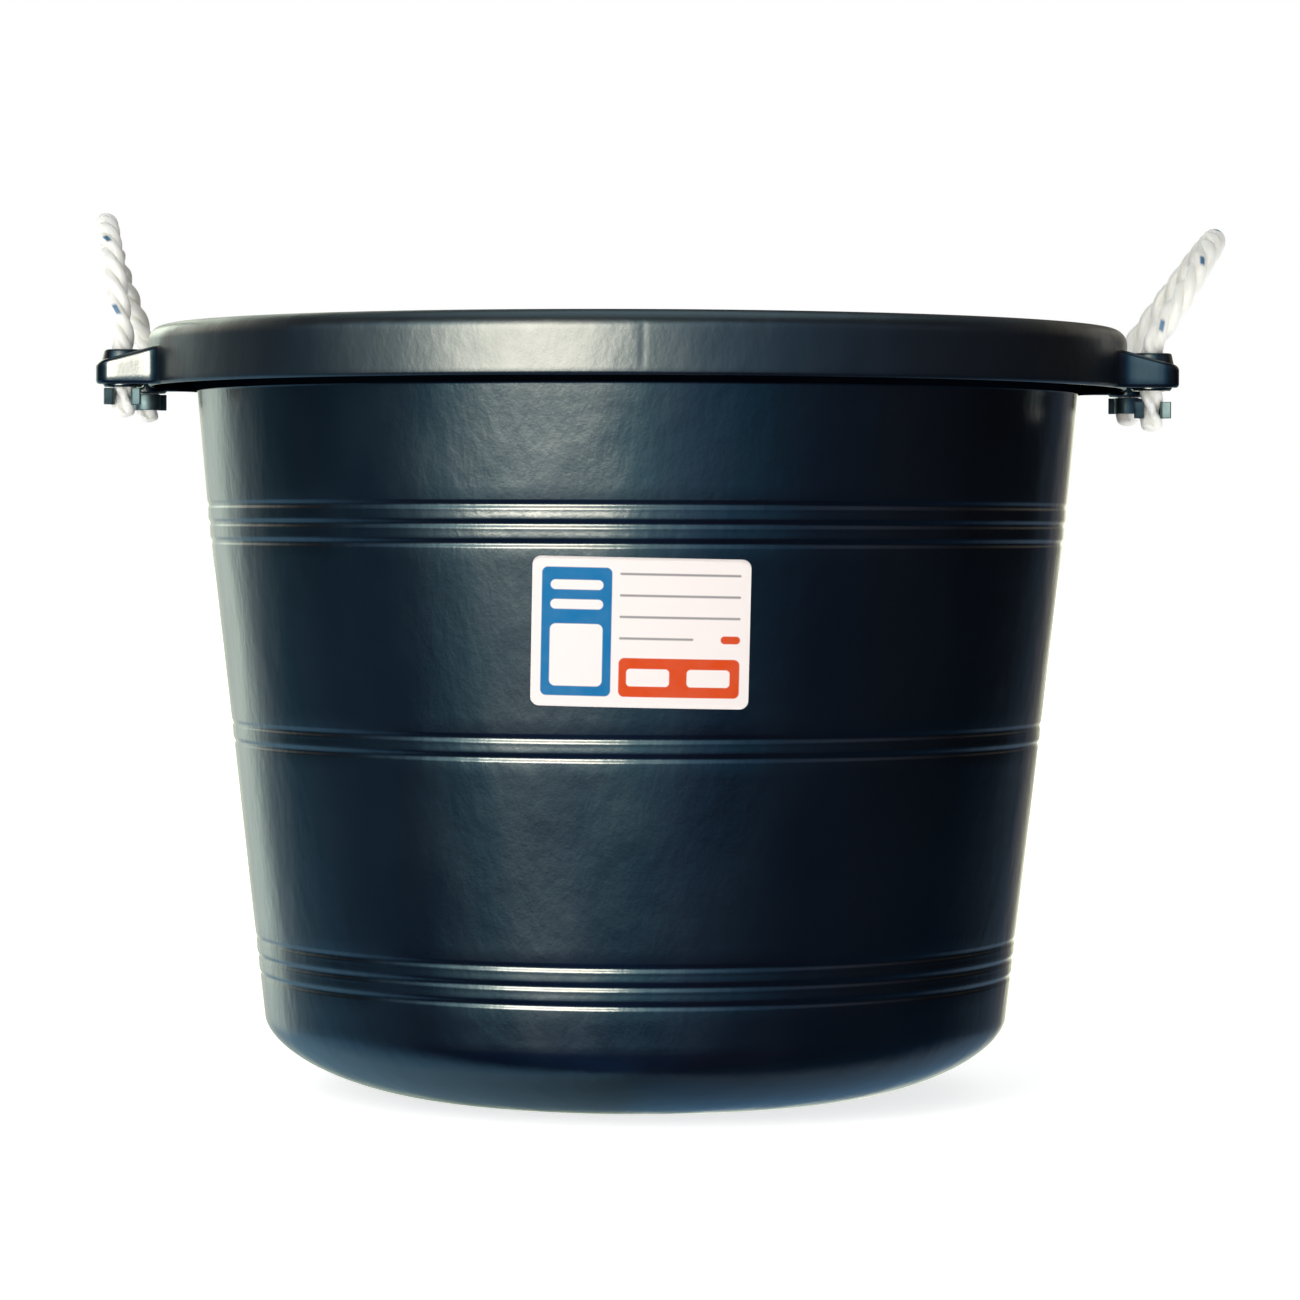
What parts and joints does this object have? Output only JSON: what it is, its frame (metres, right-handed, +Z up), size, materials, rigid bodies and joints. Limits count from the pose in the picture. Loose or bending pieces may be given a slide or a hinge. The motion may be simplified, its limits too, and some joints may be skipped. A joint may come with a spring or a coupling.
{
  "type": "muck bucket",
  "caption": "Tapered round plastic bucket with bands of grooves, a rolled rim with an ear on each side, and a rope handle through each ear, held below it by crimped steel clamps.",
  "frame": {"origin": "middle of the base, on the surface that the bucket stands on", "axes": "+Z up along the tub's axis, +X towards the right-hand rope handle, -Y towards the label"},
  "size_m": [0.6286, 0.5438, 0.488],
  "materials": {
    "tub_plastic": "satin moulded polyethylene, blue-black",
    "label_film": "printed film, white with red and blue panels",
    "rope": "three-strand twisted polypropylene, off-white",
    "clamp_steel": "zinc-plated strip, dulled"
  },
  "bodies": {
    "tub": {"tub": "tub_plastic", "label": "label_film", "left_front_tail": "rope", "left_rear_tail": "rope", "right_front_tail": "rope", "right_rear_tail": "rope", "left_front_clamp": "clamp_steel", "left_rear_clamp": "clamp_steel", "right_front_clamp": "clamp_steel", "right_rear_clamp": "clamp_steel"},
    "left_handle": {"left_rope_loop": "rope"},
    "right_handle": {"right_rope_loop": "rope"}
  },
  "joints": [
    {"name": "left_handle_swing", "type": "hinge", "parent": "tub", "child": "left_handle", "pos_m": [-0.28, 0, 0.41665], "axis": [0, -1, 0], "range_deg": [-64, 71]},
    {"name": "right_handle_swing", "type": "hinge", "parent": "tub", "child": "right_handle", "pos_m": [0.28, 0, 0.41665], "axis": [0, 1, 0], "range_deg": [-84, 51]}
  ]
}
